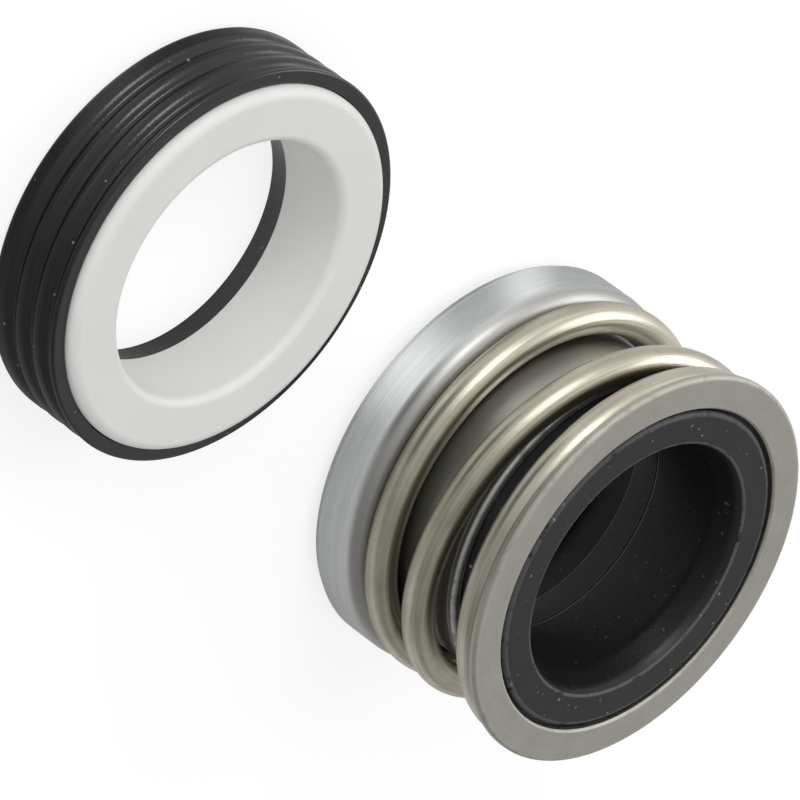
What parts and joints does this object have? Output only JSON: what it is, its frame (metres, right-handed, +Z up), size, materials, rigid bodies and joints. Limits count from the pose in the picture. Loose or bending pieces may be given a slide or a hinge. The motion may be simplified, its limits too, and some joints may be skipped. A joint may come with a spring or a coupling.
{
  "type": "component mechanical seal",
  "caption": "Pump shaft seal in two halves: a ceramic ring in a ribbed rubber cup, and a rotary head with a steel shell, rubber bellows, coil spring and holder ring.",
  "frame": {"origin": "on the surface that both halves stand on, at the middle of the pair's outline", "axes": "+Z up along both shaft axes, from the carbon nose to the spring holder; +Y from the stationary seat to the rotary head"},
  "size_m": [0.0318, 0.077, 0.0185],
  "materials": {
    "seat_rubber": "black moulded rubber, low sheen",
    "seat_ceramic": "lapped white alumina, satin",
    "shell_steel": "drawn stainless sheet, satin",
    "carbon": "lapped carbon graphite, matte dark grey",
    "bellows_rubber": "charcoal moulded rubber, matte",
    "spring_steel": "drawn stainless spring wire, satin",
    "holder_steel": "stamped stainless sheet, matte"
  },
  "bodies": {
    "stationary_seat": {"seat_cup": "seat_rubber", "ceramic_seat": "seat_ceramic"},
    "rotary_head": {"retainer_shell": "shell_steel", "carbon_ring": "carbon", "bellows": "bellows_rubber", "coil_spring": "spring_steel"},
    "spring_end": {"spring_holder": "holder_steel"}
  },
  "joints": [
    {"name": "head_spin", "type": "hinge", "parent": "stationary_seat", "child": "rotary_head", "pos_m": [0, 0.02261, 0], "axis": [0, 0, 1], "continuous": true},
    {"name": "spring_travel", "type": "slide", "parent": "rotary_head", "child": "spring_end", "axis": [0, 0, -1], "range_m": [0, 0.004], "stiffness_N_per_m": 8000, "deforming": ["coil_spring", "bellows"]}
  ]
}
